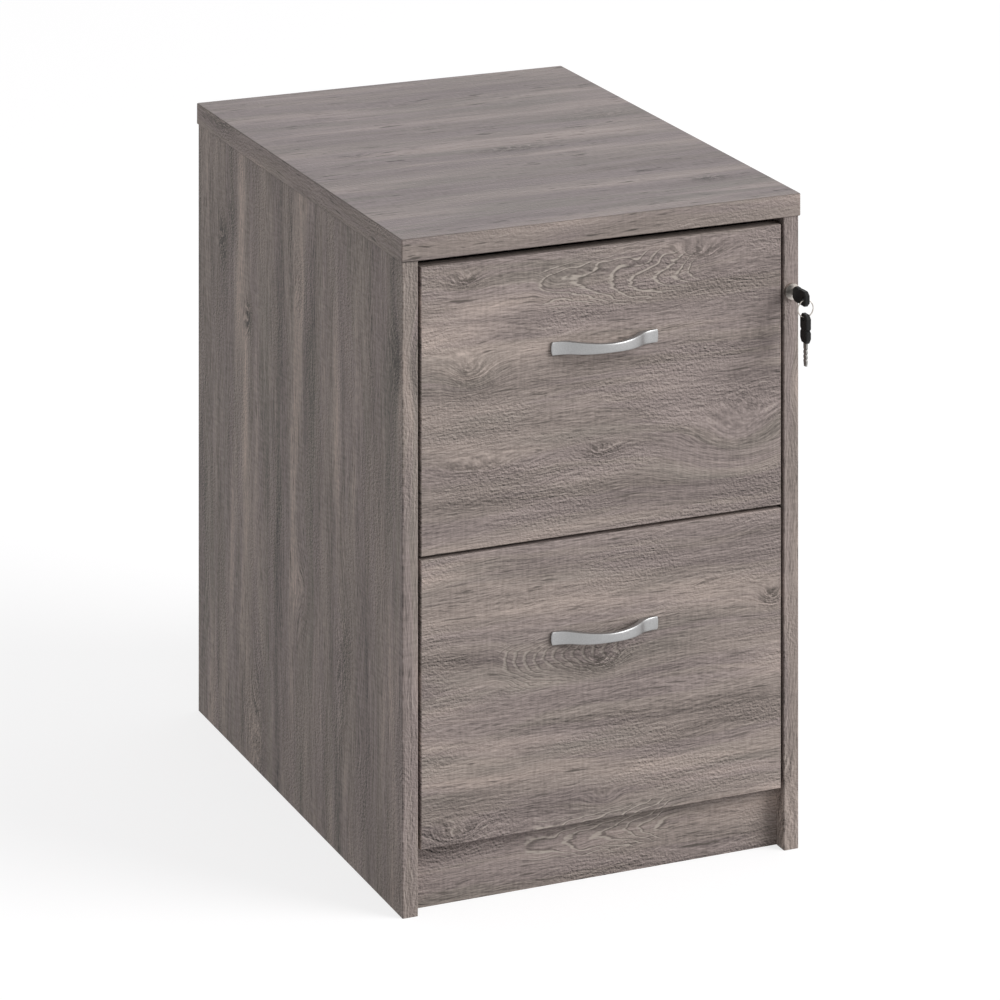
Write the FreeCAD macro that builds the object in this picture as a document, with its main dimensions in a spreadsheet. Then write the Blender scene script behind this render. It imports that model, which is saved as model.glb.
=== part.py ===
import FreeCAD, Part
import math
import os
from types import SimpleNamespace

import Sketcher
from FreeCAD import Placement, Rotation, Vector

# Desk-high filing cabinet for suspension files: a panel carcass, two drawers on full-extension
# runners, and a lock in the edge of the right side panel that lifts one bar to hold both drawers.
# Millimetres. +X right, -Y to the front, +Z up. The origin lies on the floor, under the middle of
# the whole cabinet with its key in the lock.

SIZES = {
    # carcass
    "width": 480,
    "depth": 655,
    "height": 730,
    "board": 18,
    "top_thick": 25,
    "top_overhang": 2,
    "top_corner": 2,
    "edge_ease": 0.8,
    "plinth_height": 78,
    # gaps round the drawer fronts
    "front_lap": 8,
    "front_gap": 4,
    "head_gap": 8,
    "side_gap": 3.5,
    "front_set": 0.5,
    "closing_gap": 0.5,
    # cam fittings that hold the top
    "fixing_inset": 90,
    "cam_radius": 7.5,
    "cam_depth": 12.5,
    "cam_reach": 24,
    "bolt_radius": 3,
    "bolt_bite": 11,
    "bolt_tip": 3,
    # drawer boxes
    "drawer_board": 12,
    "rear_space": 54.5,
    "drawer_lift": 12,
    "drawer_head": 49.5,
    "drawer_back_drop": 30,
    "drawer_back_inset": 14,
    "housing_depth": 4,
    "drawer_bottom": 6,
    "groove_rise": 10,
    "groove_depth": 5,
    "groove_play": 0.1,
    # hanging rails for the files
    "rail_wall": 1.5,
    "rail_leg": 12,
    "rail_rib": 2.5,
    "rail_rise": 8,
    # runners
    "runner_thick": 12.7,
    "runner_height": 46,
    "runner_steel": 1.2,
    "runner_lip": 2.4,
    "runner_set": 2,
    "runner_tail": 8,
    "runner_rise": 80,
    "outer_reach": 9.6,
    "mid_start": 2.6,
    "mid_reach": 8,
    "inner_reach": 7.5,
    "cage_wall": 0.6,
    "cage_flange": 2.9,
    "cage_play": 0.3,
    "cage_length": 200,
    "cage_set": 145,
    # bow handles
    "handle_length": 129,
    "handle_end_height": 14.6,
    "handle_waist_height": 10.4,
    "handle_drop": 105,
    "handle_rise": 26,
    "handle_foot": 3.6,
    "handle_foot_flat": 3,
    "handle_bend": 30,
    "handle_bar": 6,
    "handle_grip_span": 84,
    "handle_ease": 1.2,
    "handle_centres": 96,
    "handle_screw_radius": 2,
    "handle_screw_head": 4,
    "handle_screw_head_thick": 2.4,
    "handle_screw_bite": 5,
    # lock in the panel edge
    "lock_drop": 83,
    "barrel_radius": 7,
    "barrel_length": 24,
    "rose_radius": 9,
    "rose_thick": 4,
    "plug_radius": 5.2,
    "plug_play": 0.08,
    "plug_recess": 0.5,
    "cam_disc_radius": 6.4,
    "cam_disc_thick": 3,
    "drive_radius": 2,
    "drive_throw": 4.2,
    "drive_length": 5,
    # locking bar in the groove of the right side panel
    "bar_thick": 2,
    "bar_width": 14,
    "bar_play": 0.5,
    "bar_tail": 1,
    "bar_above": 12,
    "tab_height": 16,
    "tab_reach": 9.8,
    "slot_play": 0.3,
    "stud_radius": 3,
    "stud_reach": 9,
    "stud_drop": 40,
    "guide_thick": 1.5,
    "guide_height": 20,
    "guide_margin": 8,
    # catches on the drawers
    "catch_thick": 2,
    "catch_length": 30,
    "catch_height": 24,
    "catch_lug": 12,
    "catch_lug_reach": 8,
    "catch_gap": 1,
    "catch_lift": 0.8,
    # keys and ring
    "key_gap": 4,
    "key_insert": 22,
    "key_thick": 2,
    "key_height": 7.2,
    "key_notch": 1.4,
    "key_play": 0.2,
    "key_tang": 8,
    "head_length": 32,
    "head_half": 8.4,
    "head_neck_half": 5,
    "head_waist_half": 6.4,
    "head_end_half": 4.6,
    "head_thick": 6,
    "head_ease": 1,
    "head_hole_radius": 2.75,
    "head_hole_inset": 5.2,
    "ring_radius": 9.4,
    "ring_wire": 1.2,
    "ring_play": 0.25,
    # one overrun for every cut that leaves the stock
    "overrun": 2,
}

# Shares of a key head's length at which its outline turns, from the shoulder to the tip.
HEAD_SHOULDER_SHARE = 0.16
HEAD_WAIST_START_SHARE = 0.38
HEAD_WAIST_SHARE = 0.44
HEAD_WAIST_END_SHARE = 0.5
HEAD_TIP_SHARE = 0.86
# Shares of a key blade's length at which its cuts lie.
KEY_CUT_SHARES = (0.7, 0.5, 0.3)
KEY_CUT_WIDTH_SHARE = 0.06

doc = FreeCAD.newDocument("filing_cabinet")
sheet = doc.addObject("Spreadsheet::Sheet", "sizes")
for row, (alias, number) in enumerate(SIZES.items(), start=1):
    sheet.set(f"A{row}", alias)
    sheet.set(f"B{row}", str(number))
    sheet.setAlias(f"B{row}", alias)
doc.recompute()


class Dim:
    """A length as an expression over the sheet's cells, with its present value beside it."""

    def __init__(self, text, value):
        self.text = text
        self.value = value

    def joined(self, sign, other, value):
        return Dim(f"({self.text} {sign} {other.text})", value)

    def __add__(self, other):
        other = dim(other)
        return self.joined("+", other, self.value + other.value)

    def __sub__(self, other):
        other = dim(other)
        return self.joined("-", other, self.value - other.value)

    def __mul__(self, other):
        other = dim(other)
        return self.joined("*", other, self.value * other.value)

    def __truediv__(self, other):
        other = dim(other)
        return self.joined("/", other, self.value / other.value)

    def __neg__(self):
        return Dim(f"(0 - {self.text})", -self.value)


def dim(number):
    """A plain number as a Dim, and a Dim as it is."""
    if isinstance(number, Dim):
        return number
    return Dim(f"({number!r})", float(number))


def root_of(square):
    return Dim(f"sqrt({square.text})", math.sqrt(square.value))


size = SimpleNamespace(**{alias: Dim(f"sizes.{alias}", float(n)) for alias, n in SIZES.items()})
ZERO = dim(0)
sub_parts = []

AXES = {
    "X": Rotation(Vector(0, 1, 0), 90),
    "-X": Rotation(Vector(0, 1, 0), -90),
    "Y": Rotation(Vector(1, 0, 0), -90),
    "-Y": Rotation(Vector(1, 0, 0), 90),
    "Z": Rotation(),
    "-Z": Rotation(Vector(1, 0, 0), 180),
}


def bind(obj, path, length):
    obj.setExpression(path, dim(length).text)


def put(obj, place, axis="Z"):
    """Turns a primitive's own Z to the axis and binds its place."""
    obj.Placement = Placement(Vector(), AXES[axis])
    for letter, length in zip("xyz", place):
        bind(obj, f"Placement.Base.{letter}", length)
    return obj


def box(label, low, high):
    block = doc.addObject("Part::Box", label)
    for side, start, end in zip(("Length", "Width", "Height"), low, high):
        bind(block, side, dim(end) - start)
    return put(block, low)


def rod(label, radius, length, start, axis):
    cylinder = doc.addObject("Part::Cylinder", label)
    bind(cylinder, "Radius", radius)
    bind(cylinder, "Height", length)
    return put(cylinder, start, axis)


def fused(label, pieces):
    joined = doc.addObject("Part::MultiFuse", label)
    joined.Shapes = pieces
    return joined


def cut(label, stock, tools):
    result = doc.addObject("Part::Cut", label)
    result.Base = stock
    result.Tool = tools[0] if len(tools) == 1 else fused(f"{label}_cuts", tools)
    return result


def group(label, pieces):
    """Separate solids that share one node, as a set of like fasteners does."""
    bundle = doc.addObject("Part::Compound", label)
    bundle.Links = pieces
    return bundle


def keep(obj, label):
    obj.Label = label
    sub_parts.append(obj)
    return obj


def sketch_in(body, role, at):
    """A sketch on one of the body's own planes, its origin moved by at: across, up, outward."""
    plane = next(f for f in body.Origin.OriginFeatures if f.Role == role)
    sketch = body.newObject("Sketcher::SketchObject", f"{body.Name}_sketch")
    sketch.AttachmentSupport = (plane, [""])
    sketch.MapMode = "FlatFace"
    for letter, length in zip("xyz", at):
        bind(sketch, f"AttachmentOffset.Base.{letter}", length)
    return sketch


def fix_point(sketch, curve, end, corner):
    """Binds both coordinates of a curve's end to the corner's expressions."""
    for kind, length in zip(("DistanceX", "DistanceY"), corner):
        index = sketch.addConstraint(Sketcher.Constraint(kind, -1, 1, curve, end, length.value))
        sketch.setExpression(f"Constraints[{index}]", length.text)


def outline(sketch, path):
    """A closed outline. Each entry is a corner and, where an arc leaves it, (radius, turn):
    turn is 1 where the arc runs anticlockwise to the next corner and -1 where clockwise."""
    corners = [(dim(entry[0]), dim(entry[1])) for entry in path]
    ends = []
    for i, entry in enumerate(path):
        start = Vector(*(c.value for c in corners[i]))
        stop = Vector(*(c.value for c in corners[(i + 1) % len(path)]))
        if len(entry) == 2:
            curve = sketch.addGeometry(Part.LineSegment(start, stop), False)
            ends.append((curve, 1, 2))
            continue
        radius, turn = entry[2]
        chord = stop - start
        left = Vector(-chord.y, chord.x).normalize()
        rise = math.sqrt(radius.value**2 - (chord.Length / 2) ** 2)
        centre = (start + stop) * 0.5 + left * (turn * rise)
        first, last = (start, stop) if turn > 0 else (stop, start)
        angles = [math.atan2(p.y - centre.y, p.x - centre.x) for p in (first, last)]
        circle = Part.Circle(centre, Vector(0, 0, 1), radius.value)
        curve = sketch.addGeometry(Part.ArcOfCircle(circle, *angles), False)
        ends.append((curve, 1, 2) if turn > 0 else (curve, 2, 1))
        index = sketch.addConstraint(Sketcher.Constraint("Radius", curve, radius.value))
        sketch.setExpression(f"Constraints[{index}]", radius.text)
    for i, (curve, begin, end) in enumerate(ends):
        following, start_of_next, _ = ends[(i + 1) % len(ends)]
        sketch.addConstraint(Sketcher.Constraint("Coincident", curve, end, following, start_of_next))
        fix_point(sketch, curve, begin, corners[i])
    return sketch


def padded(label, role, at, path, length):
    """A body padded from one outline, along the outward side of its plane."""
    body = doc.addObject("PartDesign::Body", label)
    pad = body.newObject("PartDesign::Pad", f"{label}_pad")
    pad.Profile = outline(sketch_in(body, role, at), path)
    bind(pad, "Length", length)
    return body


def turned(label, at, path):
    """A body turned about a line along Y through at; the path gives distance along it and radius."""
    body = doc.addObject("PartDesign::Body", label)
    sketch = outline(sketch_in(body, "YZ_Plane", at), path)
    turn = body.newObject("PartDesign::Revolution", f"{label}_turn")
    turn.Profile = sketch
    turn.ReferenceAxis = (sketch, ["H_Axis"])
    turn.Angle = 360
    return body


def dressed(kind, prop, body, amount, chosen):
    """A fillet or chamfer on those edges of the body that the test chooses."""
    doc.recompute()
    base = body.Tip
    names = [f"Edge{i}" for i, edge in enumerate(base.Shape.Edges, start=1) if chosen(edge)]
    finish = body.newObject(f"PartDesign::{kind}", f"{body.Name}_{kind.lower()}")
    finish.Base = (base, names)
    bind(finish, prop, amount)
    return body


def rounded(body, radius, chosen):
    return dressed("Fillet", "Radius", body, radius, chosen)


def eased(body, amount, chosen):
    return dressed("Chamfer", "Size", body, amount, chosen)


def lies_at(edge, axis, value):
    """True where the whole edge lies in the plane across the axis at that value."""
    span = (getattr(edge.BoundBox, f"{axis}Min"), getattr(edge.BoundBox, f"{axis}Max"))
    return all(abs(end - value.value) < NEAR for end in span)


NEAR = 1e-4


def rectangle(low, high):
    return [(low[0], low[1]), (high[0], low[1]), (high[0], high[1]), (low[0], high[1])]


# Planes that the pieces share.
key_reach = size.rose_thick + size.key_gap + size.head_length - size.head_hole_inset + size.head_half
front = (key_reach + size.top_overhang - size.depth) / 2
back = front + size.depth - size.top_overhang * 2
half_out = size.width / 2 - size.top_overhang
half_in = half_out - size.board
under_top = size.height - size.top_thick
front_foot = size.plinth_height - size.front_lap
front_height = (under_top - size.head_gap - size.front_gap - front_foot) / 2
front_face = front + size.front_set
box_start = front_face + size.board
inner_back = back - size.board
box_end = inner_back - size.rear_space
box_half = half_in - size.runner_thick
box_inner = box_half - size.drawer_board
plinth_face = box_start + size.closing_gap
base_under = size.plinth_height - size.board
feet = {"bottom": front_foot, "top": front_foot + front_height + size.front_gap}
sides = {"left": -1, "right": 1}
runner_start = box_start + size.runner_set
runner_length = box_end - runner_start - size.runner_tail
runner_half = size.runner_height / 2
side_height = front_height - size.drawer_lift - size.drawer_head

# Lock axis, the places along it, and the groove in the panel behind it.
lock_x = half_in + size.board / 2
lock_z = under_top - size.lock_drop
barrel_end = front + size.barrel_length
cam_end = barrel_end + size.cam_disc_thick
groove_start = cam_end + size.bar_play
bar_start = groove_start + size.bar_play
bar_end = bar_start + size.bar_width
groove_end = bar_end + size.bar_play
bar_face = half_in + size.bar_play
drive_sag = size.drive_throw * math.sqrt(0.5)
bar_lift = drive_sag * 2
tab_middle = lock_z - drive_sag
stud_y = (bar_start + bar_end) / 2


def at_rest_height(foot):
    """Height of the stud under a drawer's catch while the lock is open."""
    return foot + size.drawer_lift + side_height - size.stud_drop


bar_foot = at_rest_height(feet["bottom"]) - size.stud_radius - size.bar_tail


def cam_fittings():
    """Bolts screwed into the top and the slotted discs in the sides that draw them down, with the
    holes that the boards need for them."""
    holes = {name: [] for name in ("top", "left", "right")}
    bolts, discs = [], []
    cam_z = under_top - size.cam_reach
    bolt_low = cam_z + size.bolt_tip
    bolt_length = under_top - bolt_low + size.bolt_bite
    for side, sign in sides.items():
        middle = (half_in + size.board / 2) * sign
        for end, y in (("front", front + size.fixing_inset), ("rear", back - size.fixing_inset)):
            name = f"{side}_{end}"
            seat_at = (half_in * sign, y, cam_z), "X" if sign > 0 else "-X"
            bolt = rod(f"{name}_bolt", size.bolt_radius, bolt_length, (middle, y, bolt_low), "Z")
            seat = rod(f"{name}_seat", size.cam_radius, size.cam_depth, *seat_at)
            disc = rod(f"{name}_disc", size.cam_radius, size.cam_depth, *seat_at)
            slot = box(f"{name}_slot", (middle - size.bolt_radius, y - size.bolt_radius, bolt_low),
                       (middle + size.bolt_radius, y + size.bolt_radius, under_top))
            bolts.append(bolt)
            discs.append(cut(f"{name}_disc_slotted", disc, [slot]))
            holes["top"].append(bolt)
            holes[side] += [bolt, seat]
    keep(group("carcass_bolts", bolts), "cam_bolts")
    keep(group("carcass_discs", discs), "cam_discs")
    return holes


def spread(sign, near, far):
    """Two distances from the middle, put on one side of it and in rising order."""
    return sorted((near * sign, far * sign), key=lambda x: x.value)


def carcass():
    """Top, sides, back, base and plinth. Back, base and plinth are let into housings in the sides."""
    holes = cam_fittings()
    holes["right"] += lock_recesses()
    housed = half_in + size.housing_depth
    plinth_back = plinth_face + size.board
    top_front = front - size.top_overhang
    top = padded("top_board", "XY_Plane", (ZERO, ZERO, under_top),
                 rectangle((-size.width / 2, top_front), (size.width / 2, top_front + size.depth)),
                 size.top_thick)
    rounded(top, size.top_corner, lambda edge: not (lies_at(edge, "Z", under_top)
                                                    or lies_at(edge, "Z", size.height)))
    eased(top, size.edge_ease, lambda edge: lies_at(edge, "Z", under_top) or lies_at(edge, "Z", size.height))
    keep(cut("top_drilled", top, holes["top"]), "top_panel")
    for side, sign in sides.items():
        low, high = spread(sign, half_in, half_out)
        panel = padded(f"{side}_board", "XY_Plane", (ZERO, ZERO, ZERO),
                       rectangle((low, front), (high, back)), under_top)
        eased(panel, size.edge_ease, lambda edge: lies_at(edge, "Y", front) and not
              (lies_at(edge, "Z", ZERO) or lies_at(edge, "Z", under_top)))
        low, high = spread(sign, half_in - size.overrun, housed)
        back_slot = box(f"{side}_back_housing", (low, inner_back, -size.overrun),
                        (high, back + size.overrun, under_top + size.overrun))
        plinth_slot = box(f"{side}_plinth_housing", (low, plinth_face, -size.overrun),
                          (high, plinth_back, size.plinth_height))
        base_slot = box(f"{side}_base_housing", (low, plinth_back, base_under),
                        (high, inner_back, size.plinth_height))
        slots = [back_slot, plinth_slot, base_slot]
        keep(cut(f"{side}_drilled", panel, holes[side] + slots), f"{side}_side_panel")
    keep(box("back_board", (-housed, inner_back, ZERO), (housed, back, under_top)), "back_panel")
    keep(box("base_board", (-housed, plinth_back, base_under), (housed, inner_back, size.plinth_height)),
         "base_panel")
    keep(box("plinth_board", (-housed, plinth_face, ZERO), (housed, plinth_back, size.plinth_height)),
         "front_plinth")


def lipped(web, mouth, steel, half):
    """Channel section with its lips turned in: distance from the web, height."""
    lip = half - size.runner_lip
    inside = half - size.runner_steel
    return [(web, -half), (mouth, -half), (mouth, -lip), (mouth - steel, -lip), (mouth - steel, -inside),
            (web + steel, -inside), (web + steel, inside), (mouth - steel, inside), (mouth - steel, lip),
            (mouth, lip), (mouth, half), (web, half)]


def plain_channel(web, mouth, wall, flange, half):
    inside = half - flange
    return [(web, -half), (mouth, -half), (mouth, -inside), (web + wall, -inside),
            (web + wall, inside), (mouth, inside), (mouth, half), (web, half)]


def along_runner(label, section, sign, z, start, length):
    """A runner section, measured from the side panel, carried along the drawer's travel."""
    path = [((half_in - across) * sign, height) for across, height in section]
    return padded(label, "XZ_Plane", (ZERO, z, -(start + length)), path, length)


def runners():
    """Three-part ball runners: cabinet member, middle member, drawer member and two ball cages."""
    mid_half = runner_half - size.runner_steel - size.cage_flange - size.cage_play * 2
    inner_half = mid_half - size.runner_steel - size.cage_flange - size.cage_play * 2
    outer_cage_half = runner_half - size.runner_steel - size.cage_play
    inner_cage_half = mid_half - size.runner_steel - size.cage_play
    outer_cage_web = size.runner_steel + size.cage_play
    mid_mouth = size.mid_start + size.mid_reach
    inner_cage_web = size.mid_start + size.runner_steel + size.cage_play
    inner_mouth = size.runner_thick - size.inner_reach
    members = {
        "outer": lipped(ZERO, size.outer_reach, size.runner_steel, runner_half),
        "mid": lipped(size.mid_start, mid_mouth, size.runner_steel, mid_half),
        "inner": plain_channel(size.runner_thick, inner_mouth, -size.runner_steel,
                               size.runner_steel, inner_half),
    }
    cages = {
        "outer": plain_channel(outer_cage_web, size.outer_reach - size.runner_steel - size.cage_play,
                               size.cage_wall, size.cage_flange, outer_cage_half),
        "inner": plain_channel(inner_cage_web, mid_mouth - size.runner_steel - size.cage_play,
                               size.cage_wall, size.cage_flange, inner_cage_half),
    }
    for level, foot in feet.items():
        z = foot + size.runner_rise
        for kind, section in members.items():
            for side, sign in sides.items():
                label = f"{level}_{side}_{kind}_runner"
                keep(along_runner(f"{label}_steel", section, sign, z, runner_start, runner_length), label)
        for kind, section in cages.items():
            pair = [along_runner(f"{level}_{side}_{kind}_cage", section, sign, z,
                                 runner_start + size.cage_set, size.cage_length)
                    for side, sign in sides.items()]
            keep(group(f"{level}_{kind}_cage_pair", pair), f"{level}_{kind}_ball_cages")


def handle(level, foot):
    """Bow handle: a bar bent outwards between two flat feet, waisted to its middle."""
    half = size.handle_length / 2
    grip = size.handle_grip_span / 2
    bend_start = half - size.handle_foot_flat
    rise = size.handle_rise - size.handle_foot
    bow = (bend_start * bend_start + rise * rise) / (rise * 2) - size.handle_bend
    turn_x = bend_start * (bow / (bow + size.handle_bend))
    turn_y = size.handle_rise - rise * (bow / (bow + size.handle_bend))
    hollow = size.handle_rise - size.handle_bar
    grip_radius = (grip * grip + hollow * hollow) / (hollow * 2)
    middle = foot + front_height - size.handle_drop
    plan = [
        (-half, ZERO), (-grip, ZERO, (grip_radius, 1)), (grip, ZERO), (half, ZERO),
        (half, -size.handle_foot), (bend_start, -size.handle_foot, (size.handle_bend, 1)),
        (turn_x, -turn_y, (bow, -1)), (-turn_x, -turn_y, (size.handle_bend, 1)),
        (-bend_start, -size.handle_foot), (-half, -size.handle_foot),
    ]
    low = middle - size.handle_end_height / 2
    bar = padded(f"{level}_handle_bar", "XY_Plane", (ZERO, front_face, low), plan, size.handle_end_height)
    waist = (size.handle_end_height - size.handle_waist_height) / 2
    waist_radius = (half * half + waist * waist) / (waist * 2)
    top = size.handle_end_height / 2
    over = top + size.overrun
    scoops = bar.newObject("PartDesign::Pocket", f"{level}_handle_scoop")
    sketch = sketch_in(bar, "XZ_Plane", (ZERO, middle, size.handle_rise + size.overrun - front_face))
    outline(sketch, [(-half, top, (waist_radius, 1)), (half, top), (half, over), (-half, over)])
    outline_below(sketch, half, top, over, waist_radius)
    scoops.Profile = sketch
    scoops.Type = "ThroughAll"
    bar.Tip = scoops
    eased(bar, size.handle_ease, lambda edge: not lies_at(edge, "Y", front_face))
    screws, ways = [], []
    for end, sign in sides.items():
        place = (size.handle_centres / 2 * sign, box_start, middle)
        name = f"{level}_handle_{end}_screw"
        head = rod(f"{name}_head", size.handle_screw_head, size.handle_screw_head_thick, place, "Y")
        shank = rod(f"{name}_shank", size.handle_screw_radius, size.board + size.handle_screw_bite, place, "-Y")
        screws.append(fused(name, [head, shank]))
        ways.append(shank)
    keep(cut(f"{level}_handle_bored", bar, ways), f"{level}_handle")
    keep(group(f"{level}_handle_screw_pair", screws), f"{level}_handle_screws")
    return ways


def outline_below(sketch, half, top, over, radius):
    """The mirror image of the handle's upper scoop."""
    outline(sketch, [(-half, -top, (radius, -1)), (half, -top), (half, -over), (-half, -over)])


def catch(level, foot):
    """Angle plate on the drawer's right side whose lug the locking bar's stud stops."""
    lug_start = stud_y + size.stud_radius + size.catch_gap
    low = at_rest_height(foot) + size.stud_radius + size.catch_lift
    plate_x = box_half + size.catch_thick
    plate = box(f"{level}_catch_plate", (box_half, lug_start, low),
                (plate_x, lug_start + size.catch_length, low + size.catch_height))
    lug = box(f"{level}_catch_lug", (plate_x, lug_start, low),
              (plate_x + size.catch_lug_reach, lug_start + size.catch_thick, low + size.catch_lug))
    keep(fused(f"{level}_catch_angle", [plate, lug]), f"{level}_lock_catch")


def file_rail(level, side, sign, top):
    """Clip-on rail over a drawer side's top edge, with the rib that the files hang from."""
    wall = size.rail_wall
    inner, outer = box_inner - wall, box_half + wall
    rib = box_inner - wall + size.rail_rib
    section = [
        (inner, top - size.rail_leg), (box_inner, top - size.rail_leg), (box_inner, top), (box_half, top),
        (box_half, top - size.rail_leg), (outer, top - size.rail_leg), (outer, top + wall),
        (rib, top + wall), (rib, top + wall + size.rail_rise), (inner, top + wall + size.rail_rise),
    ]
    path = [(x * sign, z) for x, z in section]
    rail = padded(f"{level}_{side}_rail", "XZ_Plane", (ZERO, ZERO, -box_end), path, box_end - box_start)
    keep(rail, f"{level}_{side}_file_rail")


def drawer(level, foot):
    """Front, two sides let into it, back housed between them, and a bottom in grooves all round."""
    low = foot + size.drawer_lift
    top = low + side_height
    floor = low + size.groove_rise + size.groove_play
    floor_top = floor + size.drawer_bottom
    play, depth = size.groove_play, size.groove_depth
    groove_low, groove_top = floor - play, floor_top + play
    side_start = box_start - depth
    half = half_in - size.side_gap
    back_end = box_end - size.drawer_back_inset
    back_start = back_end - size.drawer_board
    back_top = top - size.drawer_back_drop
    housed = box_inner + size.housing_depth

    face = padded(f"{level}_front_board", "XZ_Plane", (ZERO, ZERO, -box_start),
                  rectangle((-half, foot), (half, foot + front_height)), size.board)
    eased(face, size.edge_ease, lambda edge: lies_at(edge, "Y", front_face))
    front_cuts = handle(level, foot)
    front_cuts.append(box(f"{level}_front_groove", (-box_inner, side_start, groove_low),
                          (box_inner, box_start + size.overrun, groove_top)))
    for side, sign in sides.items():
        low_x, high_x = spread(sign, box_inner, box_half)
        front_cuts.append(box(f"{level}_{side}_front_housing", (low_x, side_start, low),
                              (high_x, box_start + size.overrun, top)))
        board = box(f"{level}_{side}_side_board", (low_x, side_start, low), (high_x, box_end, top))
        low_x, high_x = spread(sign, box_inner - size.overrun, box_inner + depth)
        groove = box(f"{level}_{side}_groove", (low_x, side_start - size.overrun, groove_low),
                     (high_x, box_end + size.overrun, groove_top))
        low_x, high_x = spread(sign, box_inner - size.overrun, housed)
        slot = box(f"{level}_{side}_housing", (low_x, back_start, floor_top), (high_x, back_end, back_top))
        keep(cut(f"{level}_{side}_side_cut", board, [groove, slot]), f"{level}_drawer_{side}_side")
        file_rail(level, side, sign, top)
    keep(cut(f"{level}_front_cut", face, front_cuts), f"{level}_drawer_front")
    keep(box(f"{level}_back_board", (-housed, back_start, floor_top), (housed, back_end, back_top)),
         f"{level}_drawer_back")
    keep(box(f"{level}_bottom_board", (-box_inner - depth + play, side_start + play, floor),
             (box_inner + depth - play, box_end, floor_top)), f"{level}_drawer_bottom")
    catch(level, foot)


def lock_recesses():
    """Bore for the lock in the panel's front edge, and the groove and pocket for the bar behind it."""
    bore = rod("lock_bore", size.barrel_radius, groove_start + size.overrun - front, (lock_x, front, lock_z), "Y")
    open_face = half_in - size.overrun
    groove = box("bar_groove", (open_face, groove_start, bar_foot - size.bar_play),
                 (bar_face + size.bar_thick + size.bar_play, groove_end,
                  tab_middle + size.tab_height / 2 + size.bar_above + bar_lift + size.bar_play))
    pocket = box("tab_pocket", (open_face, groove_start, tab_middle - size.tab_height / 2 - size.bar_play),
                 (bar_face + size.tab_reach + size.bar_play, bar_start + size.drive_length,
                  tab_middle + size.tab_height / 2 + bar_lift + size.bar_play))
    return [bore, groove, pocket]


def lock():
    """Barrel, plug and cam in the panel edge, the bar that the cam lifts, and the bar's guides."""
    play = size.plug_play
    bore = size.plug_radius + play
    keep(turned("lock_barrel", (front, lock_z, lock_x), [
        (-size.rose_thick, bore), (size.barrel_length, bore), (size.barrel_length, size.barrel_radius),
        (ZERO, size.barrel_radius), (ZERO, size.rose_radius), (-size.rose_thick, size.rose_radius),
    ]), "lock_housing")
    plug = rod("plug_blank", size.plug_radius, size.barrel_length + size.rose_thick - size.plug_recess,
               (lock_x, front - size.rose_thick + size.plug_recess, lock_z), "Y")
    slot_x = size.key_thick / 2 + size.key_play
    slot_z = size.key_height / 2 + size.key_play
    keyway = box("keyway", (lock_x - slot_x, front - size.rose_thick, lock_z - slot_z),
                 (lock_x + slot_x, front - size.rose_thick + size.key_insert + size.key_play, lock_z + slot_z))
    keep(cut("plug_cut", plug, [keyway]), "lock_plug")
    disc = rod("cam_disc", size.cam_disc_radius, size.cam_disc_thick, (lock_x, barrel_end, lock_z), "Y")
    drive_x = lock_x - drive_sag
    drive = rod("drive_pin", size.drive_radius, size.drive_length, (drive_x, cam_end, tab_middle), "Y")
    keep(fused("cam_and_pin", [disc, drive]), "lock_cam")

    bar_top = tab_middle + size.tab_height / 2 + size.bar_above
    strip = box("bar_strip", (bar_face, bar_start, bar_foot), (bar_face + size.bar_thick, bar_end, bar_top))
    tab = box("bar_tab", (bar_face, bar_start, tab_middle - size.tab_height / 2),
              (bar_face + size.tab_reach, bar_start + size.bar_thick, tab_middle + size.tab_height / 2))
    reach = size.drive_radius + size.slot_play
    slot = box("bar_slot", (lock_x - size.drive_throw - reach, bar_start - size.overrun, tab_middle - reach),
               (drive_x + reach, bar_start + size.bar_thick + size.overrun, tab_middle + reach))
    keep(cut("bar_slotted", fused("bar_bent", [strip, tab]), [slot]), "lock_bar")
    studs = [rod(f"{level}_stud", size.stud_radius, size.stud_reach,
                 (bar_face, stud_y, at_rest_height(foot)), "-X") for level, foot in feet.items()]
    keep(group("bar_studs", studs), "lock_studs")
    guides = []
    runner_z = feet["top"] + size.runner_rise
    for end, z in (("low", (at_rest_height(feet["bottom"]) + runner_z - runner_half) / 2),
                   ("high", (runner_z + runner_half + at_rest_height(feet["top"])) / 2)):
        guides.append(box(
            f"{end}_guide",
            (half_in - size.guide_thick, groove_start - size.guide_margin, z - size.guide_height / 2),
            (half_in, groove_end + size.guide_margin, z + size.guide_height / 2)))
    keep(group("bar_guides", guides), "lock_bar_guides")


def key_head(label, place, hole, tang):
    """Moulded key head: a waisted grip with a hole for the ring, closed round the blade's tang."""
    length = size.head_length
    shoulder, tip = length * HEAD_SHOULDER_SHARE, length * HEAD_TIP_SHARE
    waist_start, waist_end = length * HEAD_WAIST_START_SHARE, length * HEAD_WAIST_END_SHARE
    waist = length * HEAD_WAIST_SHARE
    half = [
        (ZERO, size.head_neck_half), (shoulder, size.head_half), (waist_start, size.head_half),
        (waist, size.head_waist_half), (waist_end, size.head_half), (tip, size.head_half),
        (length, size.head_end_half),
    ]
    path = [place(along, -across) for along, across in half]
    path += [place(along, across) for along, across in reversed(half)]
    start = lock_x - size.head_thick / 2
    head = padded(f"{label}_grip", "YZ_Plane", (ZERO, ZERO, start), path, size.head_thick)
    eased(head, size.head_ease, lambda edge: lies_at(edge, "X", start)
          or lies_at(edge, "X", start + size.head_thick))
    way = rod(f"{label}_hole", size.head_hole_radius, size.head_thick + size.overrun * 2,
              (start - size.overrun, hole[0], hole[1]), "X")
    keep(cut(f"{label}_head_bored", head, [way, tang]), f"{label}_head")


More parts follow.
